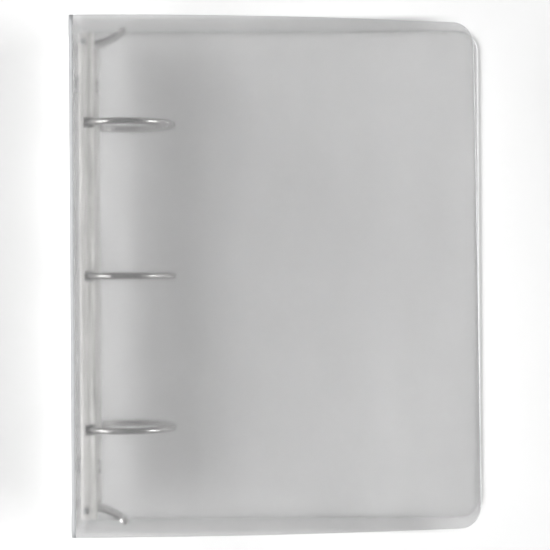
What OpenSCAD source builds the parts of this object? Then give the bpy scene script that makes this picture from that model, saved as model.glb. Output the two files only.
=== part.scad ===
// Three-ring binder for punched half-letter sheets, closed and lying on its back cover.
// +X runs from the spine to the fore edge, +Y to the head of the page and +Z up. The origin is
// the middle of the closed binder's outline, on the surface that it lies on.

/* [Covers] */
// Height of the covers, from foot to head
cover_h = 233; // [230:1:260]
// Width of the closed binder, from the spine's outer face to the fore edge
cover_w = 189; // [170:0.5:220]
// Thickness of the closed binder at its spine
binder_t = 55; // [55:1:75]
// Thickness of the plastic sheet
sheet_t = 1; // [0.8:0.1:1]
// Radius of the two corners at the fore edge of each cover
corner_r = 10; // [2:1:25]
// Width by which the front cover falls short of the back cover
front_trim = 1.7; // [0:0.1:3]
// Radius that the front cover bows to, halfway between head and foot
bow_r = 665; // [615:10:2015]
// Distance of the bow's tip beyond that middle: the nearer it is, the more the head droops
bow_tip = 725; // [605:10:3005]

/* [Living hinges] */
// Outer radius of the thinned strip where the sheet folds
fold_r = 2; // [1.6:0.1:2]
// Thickness of the thinned strip
fold_t = 0.4; // [0.3:0.05:0.6]

/* [Rings] */
// Distance between neighbouring rings, the sheet's hole spacing
ring_pitch = 69.85; // [60:0.05:75]
// Inside diameter of a closed ring
ring_d = 38; // [32:1:38]
// Diameter of the ring wire
wire_d = 3; // [2.8:0.1:3]
// Diameter of the locating pin at the tip of a front half ring
tip_pin_d = 1.6; // [1:0.1:1.8]

/* [Ring mechanism] */
// Length of the mechanism's housing
housing_l = 221; // [216:1:222]
// Width of the housing, across the spine
housing_w = 27; // [27:0.5:27.5]
// Distance of the housing's flat top from the spine's outer face
housing_top = 9.5; // [9.5:0.1:10]
// Thickness of the housing's spring steel
housing_t = 0.9; // [0.7:0.1:0.9]
// Thickness of the two hinge plates
plate_t = 0.9; // [0.8:0.05:0.9]
// Tilt of the hinge plates while the rings are closed
plate_tilt = 4; // [3:0.5:4]
// Distance of each rivet from the middle of the spine
rivet_y = 88; // [84:1:92]

/* [Levers] */
// Width of the lever tabs
lever_w = 15; // [10:0.5:15]
// Thickness of the lever tabs
lever_t = 1.2; // [1:0.1:1.4]
// Radius that a lever tab curves outwards to
lever_curve_r = 24; // [20:1:30]
// Angle that the curve of a lever tab spans
lever_sweep = 45; // [30:1:50]

/* [Hidden] */
$fn = 96;
bow_fn = 1440;
cut = 1;

// Rivets and the posts that hold the housing off the spine
rivet_r = 2;
rivet_head_r = 4.8;
rivet_head_h = 1.2;
rivet_dome_r = (rivet_head_r ^ 2 + rivet_head_h ^ 2) / (2 * rivet_head_h);
collar_r = 3.3;
collar_edge_r = 2.9;
collar_h = 0.7;
rivet_fit = 0.05;
post_r = 3;

// Places: distances from the spine's outer face turn into X, and the middle of its width into Z
mid_x = (cover_w - rivet_head_h) / 2;
mid_z = binder_t / 2;

// The front cover bends to a cone whose tip is on the line of its fold, beyond the head
front_l = cover_w - front_trim - fold_r;
bow_slope = atan2(bow_r, bow_tip);

// Housing section
housing_low = 2.7;
housing_corner_r = 3.2;
lip_corner_r = 1.2;
lip_gap = 23.8;
slot_w = 4.6;
slot_inner_v = 10.6;
slot_low = 5;
end_notch_w = lever_w + 2;
end_notch_l = 6;

// Hinge plates, in the frame of their round outer edge
pivot_x = 4.3;
pivot_v = 12;
plate_w = 11.7;
plate_l = 201;
tongue_w = 2.5;
tongue_reach = 3.2;
post_notch_r = 3.6;

// Ring wire: the ring itself, its necked bend in the housing and the shank staked to the plate
wire_r = wire_d / 2;
neck_r = wire_r - 0.1;
ring_r = ring_d / 2 + wire_r;
bend_r = 2;
shank_place = 2.1;
shank_r = 1.1;
shank_fit = 0.02;
stake_r = 1.6;
stake_h = 0.6;
tip_gap_angle = 0.1;
tip_pin_h = 1;
tip_fit = 0.1;
bend_x = pivot_x + plate_t / 2 * cos(plate_tilt) + (bend_r - shank_place) * sin(plate_tilt);
bend_v = pivot_v - plate_t / 2 * sin(plate_tilt) + (bend_r - shank_place) * cos(plate_tilt);
join_angle = asin(bend_v / (ring_r + bend_r));
ring_x = bend_x + (ring_r + bend_r) * cos(join_angle);
ring_places = [-ring_pitch, 0, ring_pitch];

// Levers, in the frame of their pin
lever_x = 5;
lever_y = 106.5;
pin_r = 1;
pin_head_r = 1.5;
pin_head_h = 0.6;
pin_fit = 0.02;
lever_fit = 0.06;
eye_r = 2.2;
jaw_start = 2.3;
jaw_low = -2.15;
jaw_high = -0.2;
lower_arm_t = 0.85;
lower_arm_reach = 3.9;
upper_arm_t = 1.2;
upper_arm_reach = 4;
tab_corner_r = 4;
tab_bead_r = 1;
tab_tip_h = lever_curve_r * sin(lever_sweep);
tab_tip_out = lever_curve_r * (1 - cos(lever_sweep));

// Moves a piece drawn from the spine's outer face and the resting surface into place
module in_binder() {
    translate([-mid_x, 0, 0]) children();
}

// Moves a piece drawn from the spine's outer face and the middle of its width into place
module in_mechanism() {
    translate([-mid_x, 0, mid_z]) children();
}

// Draws an outline, given as (distance from the spine, height), and stretches it along Y
module along_y(length) {
    rotate([90, 0, 0]) linear_extrude(height = length, center = true) children();
}

// Stands a cylinder on the YZ plane at y, so that it runs away from the spine from x
module post(x, y, r, length) {
    translate([x, y, 0]) rotate([0, 90, 0]) cylinder(h = length, r = r);
}

// Plan of a cover: square at the fold, round at the two corners of its fore edge
module cover_plan(head_end, foot_end) {
    half = cover_h / 2;
    head = [head_end - corner_r, half - corner_r];
    foot = [foot_end - corner_r, corner_r - half];
    lean = atan2(foot_end - head_end, cover_h - 2 * corner_r);
    out = corner_r * [cos(lean), sin(lean)];
    polygon([[fold_r, -half], [foot.x, -half], foot + out, head + out, [head.x, half], [fold_r, half]]);
    for (centre = [head, foot])
        translate(centre) circle(r = corner_r);
}

// Where the bowed front cover ends, at a height y above the middle of the page
function bowed_end(y) =
    let (r = bow_r * (1 - y / bow_tip))
    fold_r + r * sin(front_l / r * 180 / PI);

// The cone that the front cover's face lies on, drawn in by a depth
module bow_cone(depth) {
    near = (bow_tip - cover_h) * cos(bow_slope);
    far = (bow_tip + cover_h) * cos(bow_slope);
    translate([fold_r, bow_tip, binder_t])
        rotate([90 + bow_slope, 0, 0])
            translate([0, 0, near + depth / sin(bow_slope)])
                cylinder(h = far - near, r1 = near * tan(bow_slope), r2 = far * tan(bow_slope),
                         $fn = bow_fn);
}

module back_cover() {
    color([0.72, 0.73, 0.74, 0.7])
        in_binder() linear_extrude(height = sheet_t) cover_plan(cover_w, cover_w);
}

module front_cover() {
    color([0.72, 0.73, 0.74, 0.7])
        in_binder()
            intersection() {
                difference() {
                    bow_cone(0);
                    bow_cone(sheet_t);
                }
                linear_extrude(height = binder_t + cut)
                    cover_plan(bowed_end(cover_h / 2), bowed_end(-cover_h / 2));
            }
}

module spine_panel() {
    color([0.7, 0.71, 0.72, 0.7])
        difference() {
            in_binder()
                translate([0, -cover_h / 2, fold_r])
                    cube([sheet_t, cover_h, binder_t - 2 * fold_r]);
            in_mechanism()
                for (side = [-1, 1])
                    post(-cut, side * rivet_y, rivet_r + rivet_fit, sheet_t + 2 * cut);
        }
}

// Quarter of a thin tube, from the spine's edge down and round to the back cover's edge
module fold_strip() {
    along_y(cover_h)
        intersection() {
            difference() {
                circle(r = fold_r);
                circle(r = fold_r - fold_t);
            }
            translate([-fold_r, -fold_r]) square(fold_r);
        }
}

module back_living_hinge() {
    color([0.66, 0.67, 0.68, 0.7])
        in_binder() translate([fold_r, 0, fold_r]) fold_strip();
}

module front_living_hinge() {
    color([0.66, 0.67, 0.68, 0.7])
        in_binder() translate([fold_r, 0, binder_t - fold_r]) mirror([0, 0, 1]) fold_strip();
}

// Section of the housing's outside, or of its inside once it is drawn in by a thickness
module channel_section(inset) {
    half = housing_w / 2 - inset;
    low = housing_low + inset;
    high = housing_top - inset;
    top_r = housing_corner_r - inset;
    lip_r = lip_corner_r - inset;
    translate([low, top_r - half]) square([high - low, 2 * (half - top_r)]);
    translate([low, lip_r - half]) square([high - top_r - low, 2 * (half - lip_r)]);
    translate([low + lip_r, -half]) square([high - top_r - low - lip_r, 2 * half]);
    for (side = [-1, 1]) {
        translate([high - top_r, side * (half - top_r)]) circle(r = top_r);
        translate([low + lip_r, side * (half - lip_r)]) circle(r = lip_r);
    }
}

module housing_shell() {
    along_y(housing_l)
        difference() {
            channel_section(0);
            channel_section(housing_t);
            translate([housing_low - cut, -lip_gap / 2]) square([housing_t + 2 * cut, lip_gap]);
        }
}

// Slots in the housing's two long edges, where one ring comes out
module ring_slots() {
    depth = housing_w / 2 - slot_inner_v + cut;
    for (side = [0, 1])
        mirror([0, 0, side])
            translate([slot_low, -slot_w / 2, slot_inner_v])
                cube([housing_top - slot_low + cut, slot_w, depth]);
}

// Open end of the housing's top, where a lever swings, and the holes for its pin
module lever_cutouts() {
    translate([housing_top - housing_t - cut, housing_l / 2 - end_notch_l, -end_notch_w / 2])
        cube([housing_t + 2 * cut, end_notch_l + cut, end_notch_w]);
    translate([lever_x, lever_y, 0])
        cylinder(h = housing_w + 2 * cut, r = pin_r + pin_fit, center = true);
}

module mechanism_housing() {
    color([0.78, 0.77, 0.74])
        in_mechanism()
            difference() {
                housing_shell();
                for (y = ring_places)
                    translate([0, y, 0]) ring_slots();
                for (end = [0, 1])
                    mirror([0, end, 0]) {
                        lever_cutouts();
                        post(housing_top - housing_t - cut, rivet_y, rivet_r + rivet_fit,
                             housing_t + 2 * cut);
                    }
            }
}

// Frame of a hinge plate: its round edge lies on Y, and its inner edge is towards -Z
module in_plate() {
    translate([pivot_x, 0, pivot_v]) rotate([0, plate_tilt, 0]) children();
}

module plate_strip(width, length) {
    translate([-plate_t / 2, -length / 2, -plate_w]) cube([plate_t, length, width]);
}

// The front hinge plate; the back one is its mirror image
module hinge_plate() {
    difference() {
        in_plate() {
            plate_strip(plate_w, plate_l);
            plate_strip(tongue_w, plate_l + 2 * tongue_reach);
            rotate([90, 0, 0]) cylinder(h = plate_l, r = plate_t / 2, center = true);
        }
        for (side = [-1, 1])
            post(0, side * rivet_y, post_notch_r, housing_top);
        in_plate()
            for (y = ring_places)
                translate([0, 0, -shank_place]) post(-plate_t, y, shank_r + shank_fit, 2 * plate_t);
    }
}

module front_hinge_plate() {
    color([0.62, 0.62, 0.61]) in_mechanism() hinge_plate();
}

module back_hinge_plate() {
    color([0.62, 0.62, 0.61]) in_mechanism() mirror([0, 0, 1]) hinge_plate();
}

// Wire of radius thick, bent round Y at radius r between two angles from +X towards +Z
module wire_arc(r, thick, from, to) {
    rotate([90, 0, 0])
        rotate([0, 0, from])
            rotate_extrude(angle = to - from)
                translate([r, 0]) circle(r = thick);
}

module ring_shank() {
    in_plate()
        translate([0, 0, -shank_place]) {
            post(-plate_t / 2 - stake_h, 0, shank_r, plate_t + stake_h);
            post(-plate_t / 2 - stake_h, 0, stake_r, stake_h);
        }
}

// The front half of a ring, up to its tip; the back half is its mirror image
module half_ring() {
    translate([ring_x, 0, 0]) wire_arc(ring_r, wire_r, tip_gap_angle, 180 - join_angle);
    translate([bend_x, 0, bend_v]) wire_arc(bend_r, neck_r, -90 - plate_tilt, -join_angle);
    ring_shank();
}

module tip_cylinder(r, h) {
    translate([ring_x + ring_r, 0, -h]) cylinder(h = h + wire_r / 2, r = r);
}

module front_half_ring(number) {
    color([0.8, 0.79, 0.77])
        in_mechanism()
            translate([0, ring_places[number - 1], 0]) {
                half_ring();
                tip_cylinder(tip_pin_d / 2, tip_pin_h);
            }
}

module back_half_ring(number) {
    color([0.8, 0.79, 0.77])
        in_mechanism()
            translate([0, ring_places[number - 1], 0])
                difference() {
                    mirror([0, 0, 1]) half_ring();
                    tip_cylinder(tip_pin_d / 2 + tip_fit, tip_pin_h + tip_fit);
                }
}

// An arm of the jaw that holds the plates' tongues, with a round end
module jaw_arm(low, thickness, reach) {
    r = thickness / 2;
    translate([low, r - reach]) square([thickness, reach - r]);
    translate([low + r, r - reach]) circle(r = r);
}

// The lever's block round its pin, drawn as (distance from the pin, distance outwards)
module lever_block() {
    circle(r = eye_r);
    translate([jaw_low - lower_arm_t, -jaw_start])
        square([jaw_high + upper_arm_t - jaw_low + lower_arm_t, jaw_start]);
    jaw_arm(jaw_low - lower_arm_t, lower_arm_t, lower_arm_reach);
    jaw_arm(jaw_high, upper_arm_t, upper_arm_reach);
}

// Shape of the tab seen along Y, with its two round corners
module tab_outline() {
    straight = tab_tip_h - tab_corner_r;
    translate([0, -lever_w / 2]) square([straight, lever_w]);
    translate([0, tab_corner_r - lever_w / 2]) square([tab_tip_h, lever_w - 2 * tab_corner_r]);
    for (side = [-1, 1])
        translate([straight, side * (lever_w / 2 - tab_corner_r)]) circle(r = tab_corner_r);
}

module lever_tab() {
    intersection() {
        translate([0, lever_curve_r, -lever_w / 2])
            rotate([0, 0, -90])
                rotate_extrude(angle = lever_sweep)
                    translate([lever_curve_r - lever_t / 2, 0]) square([lever_t, lever_w]);
        along_y(4 * lever_curve_r) tab_outline();
    }
}

module tab_bead() {
    length = lever_w - 2 * tab_corner_r;
    translate([tab_tip_h, tab_tip_out, 0]) {
        cylinder(h = length, r = tab_bead_r, center = true);
        for (side = [-1, 1])
            translate([0, 0, side * length / 2]) sphere(r = tab_bead_r);
    }
}

module lever() {
    translate([lever_x, lever_y, 0])
        difference() {
            union() {
                linear_extrude(height = lever_w, center = true) lever_block();
                lever_tab();
                tab_bead();
            }
            cylinder(h = lever_w + 2 * cut, r = pin_r + lever_fit, center = true);
        }
}

module head_lever() {
    color([0.8, 0.79, 0.77]) in_mechanism() lever();
}

module foot_lever() {
    color([0.8, 0.79, 0.77]) in_mechanism() mirror([0, 1, 0]) lever();
}

module lever_pin() {
    translate([lever_x, lever_y, 0]) {
        cylinder(h = housing_w, r = pin_r, center = true);
        for (side = [0, 1])
            mirror([0, 0, side])
                translate([0, 0, housing_w / 2]) cylinder(h = pin_head_h, r = pin_head_r);
    }
}

module head_lever_pin() {
    color([0.6, 0.6, 0.6]) in_mechanism() lever_pin();
}

module foot_lever_pin() {
    color([0.6, 0.6, 0.6]) in_mechanism() mirror([0, 1, 0]) lever_pin();
}

// A rivet through the spine, the post and the housing: dome outside, rolled collar inside
module rivet() {
    translate([0, rivet_y, 0]) {
        intersection() {
            translate([rivet_dome_r - rivet_head_h, 0, 0]) sphere(r = rivet_dome_r, $fn = 192);
            post(-rivet_head_h - cut, 0, rivet_head_r + cut, rivet_head_h + cut);
        }
        post(-rivet_head_h / 2, 0, rivet_r, housing_top + rivet_head_h / 2 + collar_h / 2);
        translate([housing_top, 0, 0])
            rotate([0, 90, 0]) cylinder(h = collar_h, r1 = collar_r, r2 = collar_edge_r);
    }
}

module head_rivet() {
    color([0.75, 0.74, 0.72]) in_mechanism() rivet();
}

module foot_rivet() {
    color([0.75, 0.74, 0.72]) in_mechanism() mirror([0, 1, 0]) rivet();
}

// The sleeve round a rivet that keeps the housing off the spine
module rivet_post() {
    length = housing_top - housing_t - sheet_t;
    difference() {
        post(sheet_t, rivet_y, post_r, length);
        post(sheet_t - cut, rivet_y, rivet_r + rivet_fit, length + 2 * cut);
    }
}

module head_post() {
    color([0.55, 0.55, 0.56]) in_mechanism() rivet_post();
}

module foot_post() {
    color([0.55, 0.55, 0.56]) in_mechanism() mirror([0, 1, 0]) rivet_post();
}

back_cover();
spine_panel();
front_cover();
back_living_hinge();
front_living_hinge();
mechanism_housing();
front_hinge_plate();
back_hinge_plate();
front_half_ring(1);  // front_half_ring_1
front_half_ring(2);  // front_half_ring_2
front_half_ring(3);  // front_half_ring_3
back_half_ring(1);  // back_half_ring_1
back_half_ring(2);  // back_half_ring_2
back_half_ring(3);  // back_half_ring_3
head_lever();
foot_lever();
head_lever_pin();
foot_lever_pin();
head_rivet();
foot_rivet();
head_post();
foot_post();
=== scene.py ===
"""Looks of a frosted three-ring binder, closed on a table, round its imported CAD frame."""
import math

import bmesh
import bpy
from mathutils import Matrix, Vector


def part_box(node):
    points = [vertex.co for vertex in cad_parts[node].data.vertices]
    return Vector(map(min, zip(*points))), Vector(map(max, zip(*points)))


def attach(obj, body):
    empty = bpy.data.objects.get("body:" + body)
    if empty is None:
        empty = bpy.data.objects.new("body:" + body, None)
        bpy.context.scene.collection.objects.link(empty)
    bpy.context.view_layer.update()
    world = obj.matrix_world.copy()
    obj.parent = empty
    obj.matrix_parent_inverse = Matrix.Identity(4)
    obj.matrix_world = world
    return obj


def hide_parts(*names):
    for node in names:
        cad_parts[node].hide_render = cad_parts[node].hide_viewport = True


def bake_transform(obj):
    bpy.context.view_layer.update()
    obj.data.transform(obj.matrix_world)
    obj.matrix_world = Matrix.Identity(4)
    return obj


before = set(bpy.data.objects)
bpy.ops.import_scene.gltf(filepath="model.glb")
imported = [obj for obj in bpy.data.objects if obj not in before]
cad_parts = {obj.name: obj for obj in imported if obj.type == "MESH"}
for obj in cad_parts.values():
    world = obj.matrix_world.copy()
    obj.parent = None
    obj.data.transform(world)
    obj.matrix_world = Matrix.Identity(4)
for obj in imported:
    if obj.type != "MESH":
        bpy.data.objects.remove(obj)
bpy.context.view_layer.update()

# Sizes that the frame gives
spine_low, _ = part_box("spine_panel")
back_low, back_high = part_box("back_cover")
_, front_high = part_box("front_cover")
SPINE_X = spine_low.x
SHEET_T = back_high.z
BINDER_T = front_high.z
FOLD_X = back_low.x
FOLD_R = FOLD_X - SPINE_X
COVER_H = back_high.y - back_low.y
BACK_L = back_high.x - FOLD_X

# Sizes of the sheet that aren't in the frame's boxes
FRONT_TRIM = 0.0017
CORNER_R = 0.010
FOLD_T = 0.0004
# Roundings of the covers' cut edges and of the spine panel's
EDGE_ROUND = 0.00012
SPINE_ROUND = 0.00022
# The front cover's bow: its radius at the middle of the height, and how far along the fold's line
# from there the tip of its cone is
BOW_R = 0.665
BOW_TIP = 0.725
# Creases of the front cover: distance from the fold, place along it, half length, half width, depth
CREASES = (
    (0.1735, -0.0668, 0.0050, 0.0024, 0.0007),
    (0.1765, -0.0700, 0.0028, 0.0024, 0.0005),
    (0.1760, -0.0560, 0.0036, 0.0030, 0.0003),
    (0.1815, -0.0525, 0.0030, 0.0045, 0.0003),
)

# Fineness of the meshes, and from which angle on an edge is rounded
GRID = 0.0022
CORNER_STEPS = 10
FOLD_GRID = 0.004
FOLD_STEPS = 16
BEVEL_STEPS = 2
SHARP = math.radians(50)
WELD = 0.00001


def make_object(name, data):
    made = bpy.data.objects.new(name, data)
    bpy.context.scene.collection.objects.link(made)
    return made


# ---------------------------------------------------------------- camera

# View from straight above: the camera's distance from the spine's outer face and above the front
# fold, and the width of the view at the fold's height
CAMERA_OFF_SPINE = 0.0914
CAMERA_ABOVE = 0.7017
VIEW_WIDTH = 0.244805
SENSOR = 36
CAMERA_ROLL = math.radians(-0.36)
CLIP_START = 0.01
CLIP_END = 20


def add_camera():
    camera = make_object("camera", bpy.data.cameras.new("camera"))
    camera.location = (SPINE_X + CAMERA_OFF_SPINE, 0, BINDER_T + CAMERA_ABOVE)
    camera.rotation_euler = (0, 0, CAMERA_ROLL)
    camera.data.sensor_width = SENSOR
    camera.data.lens = SENSOR * CAMERA_ABOVE / VIEW_WIDTH
    camera.data.clip_start = CLIP_START
    camera.data.clip_end = CLIP_END
    bpy.context.scene.camera = camera


# ---------------------------------------------------------------- node helpers

# Most of a noise's values lie between these
NOISE_LOW = 0.3
NOISE_HIGH = 0.7


def grey(tone):
    return (tone, tone, tone, 1)


def dimmed(tint, share):
    return (*[c * share for c in tint], 1)


class Nodes:
    """Short calls for building one material's nodes."""

    def __init__(self, name):
        self.material = bpy.data.materials.new(name)
        self.material.use_nodes = True
        self.tree = self.material.node_tree
        self.shader = self.tree.nodes["Principled BSDF"]

    def set(self, **values):
        for name, value in values.items():
            self.shader.inputs[name.replace("_", " ")].default_value = value

    def add(self, kind, **settings):
        node = self.tree.nodes.new(kind)
        for name, value in settings.items():
            setattr(node, name, value)
        return node

    def link(self, output, socket):
        self.tree.links.new(output, socket)

    def place(self, scale=(1, 1, 1)):
        """Object coordinates, scaled."""
        coordinates = self.add("ShaderNodeTexCoord")
        mapping = self.add("ShaderNodeMapping")
        mapping.inputs["Scale"].default_value = scale
        self.link(coordinates.outputs["Object"], mapping.inputs["Vector"])
        return mapping.outputs["Vector"]

    def axes(self):
        """Object coordinates, split into X, Y and Z."""
        split = self.add("ShaderNodeSeparateXYZ")
        self.link(self.place(), split.inputs["Vector"])
        return split.outputs

    def noise(self, scale, detail=3, stretch=(1, 1, 1)):
        """Noise with scale cells to the metre, before the stretch."""
        node = self.add("ShaderNodeTexNoise")
        node.inputs["Scale"].default_value = scale
        node.inputs["Detail"].default_value = detail
        self.link(self.place(stretch), node.inputs["Vector"])
        return node.outputs["Fac"]

    def ramp(self, factor, low, high, start=0.0, end=1.0):
        """A colour or value that goes from low to high as factor goes from start to end."""
        node = self.add("ShaderNodeValToRGB")
        stops = node.color_ramp.elements
        stops[0].position, stops[1].position = start, end
        stops[0].color = low if hasattr(low, "__len__") else grey(low)
        stops[1].color = high if hasattr(high, "__len__") else grey(high)
        self.link(factor, node.inputs["Fac"])
        return node.outputs["Color"]

    def mix(self, factor, first, second):
        """The colour socket first, going over to the plain colour second as factor rises."""
        node = self.add("ShaderNodeMix", data_type="RGBA")
        self.link(factor, node.inputs["Factor"])
        self.link(first, node.inputs["A"])
        node.inputs["B"].default_value = second
        return node.outputs["Result"]

    def product(self, first, second):
        node = self.add("ShaderNodeMath", operation="MULTIPLY")
        self.link(first, node.inputs[0])
        self.link(second, node.inputs[1])
        return node.outputs["Value"]

    def rise(self, value, start, end):
        """0 where value is at start, rising to 1 where it is at end."""
        fade = self.add("ShaderNodeMapRange", interpolation_type="SMOOTHSTEP")
        fade.inputs["From Min"].default_value = start
        fade.inputs["From Max"].default_value = end
        self.link(value, fade.inputs["Value"])
        return fade.outputs["Result"]

    def bump(self, height, strength, distance):
        node = self.add("ShaderNodeBump")
        node.inputs["Strength"].default_value = strength
        node.inputs["Distance"].default_value = distance
        self.link(height, node.inputs["Height"])
        self.link(node.outputs["Normal"], self.shader.inputs["Normal"])


# ---------------------------------------------------------------- sheet materials

PLASTIC_IOR = 1.49
# Share of a lamp's light that each face of a sheet lets through to what is behind it
LAMP_SHARE = 0.94
# Painted light: the lighter, milkier tone and see-through share that the sheet takes near the spine
# and fold, standing in for light that comes in through the spine
SPINE_LIGHT_TINT = grey(0.64)
SPINE_LIGHT_TRANSMISSION = 0.78
SPINE_LIGHT_REACH = 0.12
# Distance from the fold, and how far the sheet goes over to that painted light tone there: a narrow
# strip by the fold and a broad band further in
SPINE_LIGHT_STOPS = (
    (0.0035, 0.25),
    (0.0048, 0.0),
    (0.03, 0.0),
    (0.06, 0.13),
    (0.085, 0.09),
    (0.11, 0.0),
)
# Soft clouds in the sheet's tone, and rubbed marks that change its roughness
CLOUDS = 9
CLOUD_DIM = 0.97
RUBS = 38
RUB_STRETCH = (1, 0.35, 1)
RUB_START = 0.35
RUB_SMOOTHER = 0.03
RUB_ROUGHER = 0.04
# Streaks and fine grain of a cut edge
EDGE_STREAKS = 240
EDGE_GRAIN = 900
EDGE_DIM = 0.85


def let_lamps_through(n, share):
    """Lamps light what is behind the surface, dimmed to share by each face."""
    clear = n.add("ShaderNodeBsdfTransparent")
    clear.inputs["Color"].default_value = grey(share)
    mix = n.add("ShaderNodeMixShader")
    n.link(n.add("ShaderNodeLightPath").outputs["Is Shadow Ray"], mix.inputs[0])
    n.link(n.shader.outputs[0], mix.inputs[1])
    n.link(clear.outputs[0], mix.inputs[2])
    n.link(mix.outputs[0], n.tree.nodes["Material Output"].inputs["Surface"])


def painted_spine_light(n):
    """Painted light: how far the sheet is made lighter and milkier, by its distance from the folds."""
    distance = n.add("ShaderNodeMapRange")
    distance.inputs["From Min"].default_value = FOLD_X
    distance.inputs["From Max"].default_value = FOLD_X + SPINE_LIGHT_REACH
    n.link(n.axes()["X"], distance.inputs["Value"])
    first_share = SPINE_LIGHT_STOPS[0][1]
    fade = n.add("ShaderNodeValToRGB")
    stops = fade.color_ramp.elements
    stops[0].color = grey(first_share)
    stops[1].color = grey(0)
    for place, share in SPINE_LIGHT_STOPS:
        stops.new(place / SPINE_LIGHT_REACH).color = grey(share)
    n.link(distance.outputs["Result"], fade.inputs["Fac"])
    return fade.outputs["Color"]


def frosted_sheet(name, tint, transmission, roughness):
    """Translucent polypropylene with faint clouds, rubbed marks and painted light that makes it
    lighter near the folds.
    """
    n = Nodes(name)
    n.set(IOR=PLASTIC_IOR, Specular_IOR_Level=0.15)
    # Painted light: near the fold and the spine the sheet goes over to a lighter, milkier tone
    painted_light_share = painted_spine_light(n)
    clouds = n.noise(CLOUDS, detail=4)
    cloudy = n.ramp(clouds, dimmed(tint, CLOUD_DIM), dimmed(tint, 1), NOISE_LOW, NOISE_HIGH)
    n.link(n.mix(painted_light_share, cloudy, SPINE_LIGHT_TINT), n.shader.inputs["Base Color"])
    clearness = n.ramp(painted_light_share, transmission, SPINE_LIGHT_TRANSMISSION)
    n.link(clearness, n.shader.inputs["Transmission Weight"])
    rubbed = n.noise(RUBS, detail=5, stretch=RUB_STRETCH)
    smoother, rougher = roughness - RUB_SMOOTHER, roughness + RUB_ROUGHER
    n.link(n.ramp(rubbed, smoother, rougher, RUB_START, NOISE_HIGH), n.shader.inputs["Roughness"])
    let_lamps_through(n, LAMP_SHARE)
    return n.material


def cut_edge(name, tint):
    """The sheet's die-cut edge, denser to look at than its faces."""
    n = Nodes(name)
    n.set(Transmission_Weight=0.25, IOR=PLASTIC_IOR, Roughness=0.5)
    streaks = n.noise(EDGE_STREAKS, stretch=(1, 1, 6))
    colour = n.ramp(streaks, dimmed(tint, EDGE_DIM), dimmed(tint, 1), NOISE_LOW, NOISE_HIGH)
    n.link(colour, n.shader.inputs["Base Color"])
    n.bump(n.noise(EDGE_GRAIN, stretch=(1, 1, 4)), strength=0.1, distance=0.0002)
    return n.material


SHEET = frosted_sheet("frosted_polypropylene", (0.61, 0.61, 0.61), transmission=0.94, roughness=0.16)
EDGE = cut_edge("polypropylene_cut_edge", (0.31, 0.315, 0.32))
# Painted shade: the fold strip takes the cut edge's material, tinted darker still, so that it shows as
# a dark outline along the spine even where the lamp lights it
PAINTED_SHADE_FOLD = cut_edge("polypropylene_fold_painted_shade", (0.23, 0.235, 0.24))


# ---------------------------------------------------------------- steel materials

# Slight clouds in the plating's tone, and drawing lines that change its roughness
PLATE_CLOUDS = 60
PLATE_DIM = 0.86
PLATE_LINES = 500
LINE_SMOOTHER = 0.75
LINE_ROUGHER = 1.3


def plated_metal(name, tint, roughness, grain):
    """Plated steel with drawing lines and slight clouding."""
    n = Nodes(name)
    n.set(Metallic=1.0)
    clouds = n.noise(PLATE_CLOUDS, detail=4)
    colour = n.ramp(clouds, dimmed(tint, PLATE_DIM), dimmed(tint, 1), NOISE_LOW, NOISE_HIGH)
    n.link(colour, n.shader.inputs["Base Color"])
    lines = n.noise(PLATE_LINES, detail=4, stretch=grain)
    smoother, rougher = roughness * LINE_SMOOTHER, roughness * LINE_ROUGHER
    n.link(n.ramp(lines, smoother, rougher, NOISE_LOW, NOISE_HIGH), n.shader.inputs["Roughness"])
    n.bump(lines, strength=0.05, distance=0.0001)
    return n.material


NICKEL = plated_metal("nickel_plate", (0.27, 0.265, 0.26), roughness=0.2, grain=(1, 0.05, 1))
HOUSING = plated_metal("nickel_plated_strip", (0.34, 0.335, 0.325), roughness=0.75, grain=(1, 0.05, 1))
STEEL = plated_metal("zinc_plate", (0.45, 0.46, 0.47), roughness=0.32, grain=(1, 0.1, 1))


# ---------------------------------------------------------------- sheets


def steps(start, end, size):
    """Evenly spaced places from start to end, at most size apart."""
    count = max(1, math.ceil((end - start) / size))
    return [start + (end - start) * i / count for i in range(count + 1)]


def panel_columns(length):
    """Distances from the fold, with half of the panel's height at each."""
    half = COVER_H / 2
    columns = [(u, half) for u in steps(0, length - CORNER_R, GRID)]
    for i in range(1, CORNER_STEPS + 1):
        angle = math.pi / 2 * i / CORNER_STEPS
        u = length - CORNER_R * (1 - math.sin(angle))
        columns.append((u, half - CORNER_R * (1 - math.cos(angle))))
    return columns


def sheet_side(bm, columns, rows, face, depth):
    """Vertices of one side of a sheet, at a depth below its outer face, column by column."""
    side = []
    for u, half in columns:
        column = []
        for j in range(rows + 1):
            point, normal = face(u, half * (2 * j / rows - 1))
            column.append(bm.verts.new(point - depth * normal))
        side.append(column)
    return side


def rim_places(last, rows):
    """Column and row of each vertex round the sheet's rim."""
    rim = [(i, 0) for i in range(last)]
    rim += [(last, j) for j in range(rows)]
    rim += [(i, rows) for i in range(last, 0, -1)]
    rim += [(0, j) for j in range(rows, 0, -1)]
    return rim


def mesh_of(name, bm):
    bmesh.ops.recalc_face_normals(bm, faces=bm.faces)
    mesh = bpy.data.meshes.new(name)
    bm.to_mesh(mesh)
    bm.free()
    return mesh


# Place of the cut edge's material in a sheet's list
RIM_MATERIAL = 1


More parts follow.
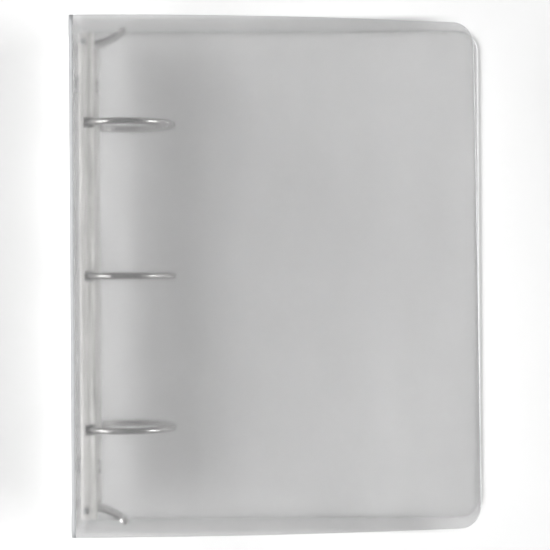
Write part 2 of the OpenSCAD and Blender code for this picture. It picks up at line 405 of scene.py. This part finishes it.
def panel(name, length, face):
    """A sheet of the given length. face(u, y) gives a point of its outer face and the normal there."""
    columns = panel_columns(length)
    last = len(columns) - 1
    rows = len(steps(-COVER_H / 2, COVER_H / 2, GRID)) - 1
    bm = bmesh.new()
    outer = sheet_side(bm, columns, rows, face, 0)
    inner = sheet_side(bm, columns, rows, face, SHEET_T)
    for i in range(last):
        for j in range(rows):
            bm.faces.new((outer[i][j], outer[i + 1][j], outer[i + 1][j + 1], outer[i][j + 1]))
            bm.faces.new((inner[i][j], inner[i][j + 1], inner[i + 1][j + 1], inner[i + 1][j]))
    rim = rim_places(last, rows)
    for (i, j), (k, m) in zip(rim, rim[1:] + rim[:1]):
        edge = bm.faces.new((outer[k][m], outer[i][j], inner[i][j], inner[k][m]))
        edge.material_index = RIM_MATERIAL
    mesh = mesh_of(name, bm)
    for polygon in mesh.polygons:
        polygon.use_smooth = True
    piece = make_object(name, mesh)
    piece.data.materials.append(SHEET)
    piece.data.materials.append(EDGE)
    add_bevel(piece, EDGE_ROUND)
    return piece


def add_bevel(piece, width):
    bevel = piece.modifiers.new("bevel", "BEVEL")
    bevel.width = width
    bevel.segments = BEVEL_STEPS
    bevel.limit_method = "ANGLE"
    bevel.angle_limit = SHARP
    bevel.harden_normals = True


def flat_face(u, y):
    return Vector((FOLD_X + u, y, 0)), Vector((0, 0, -1))


def dent_depth(u, y):
    """How far the small creases near the foot of the fore edge push the sheet in."""
    depth = 0
    for place_u, place_y, half_l, half_w, deepest in CREASES:
        spread = ((u - place_u) / half_l) ** 2 + ((y - place_y) / half_w) ** 2
        depth += deepest * math.exp(-spread)
    return depth


def bowed_face(u, y):
    """The flat sheet rolled onto a cone whose tip is on the fold's line, beyond the head."""
    slope = math.atan2(BOW_R, BOW_TIP)
    reach = math.hypot(u, BOW_TIP - y)
    turn = math.atan2(u, BOW_TIP - y) / math.sin(slope)
    axis = Vector((0, -math.cos(slope), -math.sin(slope)))
    across = Vector((0, -math.sin(slope), math.cos(slope))) * math.cos(turn)
    across += Vector((1, 0, 0)) * math.sin(turn)
    tip = Vector((FOLD_X, BOW_TIP, BINDER_T))
    point = tip + reach * (math.cos(slope) * axis + math.sin(slope) * across)
    normal = math.cos(slope) * across - math.sin(slope) * axis
    return point - dent_depth(u, y) * normal, normal


def add_covers():
    back = panel("back_cover_sheet", BACK_L, flat_face)
    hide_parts("back_cover")
    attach(back, "back_cover")
    front = panel("front_cover_sheet", BACK_L - FRONT_TRIM, bowed_face)
    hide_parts("front_cover")
    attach(front, "front_cover")


# ---------------------------------------------------------------- living hinges


# A face whose normal points this much along the fold is its end, which stays flat
END_FACING = 0.5


def fold_arc(bm, y, centre_z, up, radius):
    """Vertices of one quarter circle of a fold, from the spine's edge round to the cover's."""
    arc = []
    for i in range(FOLD_STEPS + 1):
        angle = math.pi / 2 * i / FOLD_STEPS
        x = FOLD_X - radius * math.cos(angle)
        z = centre_z + up * radius * math.sin(angle)
        arc.append(bm.verts.new((x, y, z)))
    return arc


def fold_strip(name, centre_z, up):
    """The thinned quarter tube between the spine's edge and a cover's edge."""
    bm = bmesh.new()
    rings = []
    for y in steps(-COVER_H / 2, COVER_H / 2, FOLD_GRID):
        rings.append([fold_arc(bm, y, centre_z, up, radius) for radius in (FOLD_R, FOLD_R - FOLD_T)])
    for (outer, inner), (next_outer, next_inner) in zip(rings, rings[1:]):
        for i in range(FOLD_STEPS):
            bm.faces.new((outer[i], outer[i + 1], next_outer[i + 1], next_outer[i]))
            bm.faces.new((inner[i], next_inner[i], next_inner[i + 1], inner[i + 1]))
        for i in (0, FOLD_STEPS):
            bm.faces.new((outer[i], next_outer[i], next_inner[i], inner[i]))
    for outer, inner in (rings[0], rings[-1]):
        for i in range(FOLD_STEPS):
            bm.faces.new((outer[i], inner[i], inner[i + 1], outer[i + 1]))
    mesh = mesh_of(name, bm)
    for polygon in mesh.polygons:
        polygon.use_smooth = abs(polygon.normal.y) < END_FACING
    piece = make_object(name, mesh)
    # Painted shade: the fold strip's material is tinted dark
    piece.data.materials.append(PAINTED_SHADE_FOLD)
    return piece


def add_folds():
    back = fold_strip("back_fold_strip", FOLD_R, -1)
    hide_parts("back_living_hinge")
    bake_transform(back)
    front = fold_strip("front_fold_strip", BINDER_T - FOLD_R, 1)
    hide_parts("front_living_hinge")
    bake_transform(front)


# ---------------------------------------------------------------- CAD nodes that show


def dress(node, material):
    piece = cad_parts[node]
    piece.data.materials.clear()
    piece.data.materials.append(material)


def round_off(node, width):
    """Rounds a CAD node's edges; its faces come in unjoined, so they're joined first."""
    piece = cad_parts[node]
    weld = piece.modifiers.new("weld", "WELD")
    weld.merge_threshold = WELD
    add_bevel(piece, width)


def dress_nodes():
    dress("spine_panel", SHEET)
    round_off("spine_panel", SPINE_ROUND)
    dress("mechanism_housing", HOUSING)
    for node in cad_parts:
        if node.endswith(("lever_pin", "hinge_plate", "post")):
            dress(node, STEEL)
        elif "half_ring" in node or node.endswith(("lever", "rivet")):
            dress(node, NICKEL)


# ---------------------------------------------------------------- floor

FLOOR_SIZE = 6
FLOOR_GAP = 0.0002
FLOOR_TONE = 0.43
PAPER_CLOUDS = 6
PAPER_SPREAD = 0.01
# The shade where the binder meets the floor, along its head and foot: how far it reaches from
# the binder and fades out, and where it ends on the way to the fore edge
SHADE_TONE = 0.26
SHADE_REACH = 0.0085
SHADE_FADE = 0.003
SHADE_END = 0.09
SHADE_END_FADE = 0.03


def contact_shade(n):
    """1 on the strips of floor along the binder's head and foot edges, where little light reaches."""
    axes = n.axes()
    along = n.add("ShaderNodeMath", operation="ABSOLUTE")
    n.link(axes["Y"], along.inputs[0])
    x, y = axes["X"], along.outputs["Value"]
    inner = COVER_H / 2
    outer = inner + SHADE_REACH
    left = SPINE_X - SHADE_REACH
    shade = n.rise(y, inner - SHADE_FADE, inner)
    shade = n.product(shade, n.rise(y, outer, outer - SHADE_FADE))
    shade = n.product(shade, n.rise(x, left, left + SHADE_FADE))
    return n.product(shade, n.rise(x, SHADE_END, SHADE_END - SHADE_END_FADE))


def floor_material():
    n = Nodes("floor_paper")
    n.set(Roughness=0.9, Specular_IOR_Level=0.1)
    paper = n.ramp(n.noise(PAPER_CLOUDS), FLOOR_TONE - PAPER_SPREAD, FLOOR_TONE + PAPER_SPREAD)
    n.link(n.mix(contact_shade(n), paper, grey(SHADE_TONE)), n.shader.inputs["Base Color"])
    return n.material


def add_floor():
    bpy.ops.mesh.primitive_plane_add(size=FLOOR_SIZE, location=(0, 0, -FLOOR_GAP))
    floor = bpy.context.object
    floor.name = "floor"
    floor.data.materials.append(floor_material())


# ---------------------------------------------------------------- light

LAMP_AIM = Vector((0, 0, 0.03))
# Strength of the sky, and its tone overhead where the horizon's is 1
SKY = 0.35
ZENITH = 0.5
# Heights of the sky, from 0 to 1, between which its tone changes
SKY_LOW = 0.1
SKY_HIGH = 0.6


def add_light(name, place, size, power):
    data = bpy.data.lights.new(name, "AREA")
    data.shape = "RECTANGLE"
    data.size, data.size_y = size
    data.energy = power
    lamp = make_object(name, data)
    lamp.location = place
    lamp.rotation_euler = (LAMP_AIM - Vector(place)).to_track_quat("-Z", "Y").to_euler()


def add_lights():
    add_light("left_softbox", place=(-1.5, -0.1, 0.80), size=(2.2, 0.7), power=98)
    add_light("right_softbox", place=(1.50, -0.1, 0.80), size=(0.9, 0.6), power=52)


def add_world():
    world = bpy.data.worlds.new("studio")
    bpy.context.scene.world = world
    world.use_nodes = True
    nodes, links = world.node_tree.nodes, world.node_tree.links
    coordinates = nodes.new("ShaderNodeTexCoord")
    split = nodes.new("ShaderNodeSeparateXYZ")
    links.new(coordinates.outputs["Generated"], split.inputs["Vector"])
    ramp = nodes.new("ShaderNodeValToRGB")
    stops = ramp.color_ramp.elements
    stops[0].position, stops[1].position = SKY_LOW, SKY_HIGH
    stops[0].color = grey(1)
    stops[1].color = grey(ZENITH)
    links.new(split.outputs["Z"], ramp.inputs["Fac"])
    links.new(ramp.outputs["Color"], nodes["Background"].inputs["Color"])
    nodes["Background"].inputs["Strength"].default_value = SKY


def set_view():
    settings = bpy.context.scene.view_settings
    settings.view_transform = "Standard"
    settings.look = "None"
    settings.exposure = 0
    settings.gamma = 1


add_camera()
add_covers()
add_folds()
dress_nodes()
add_floor()
add_lights()
add_world()
set_view()
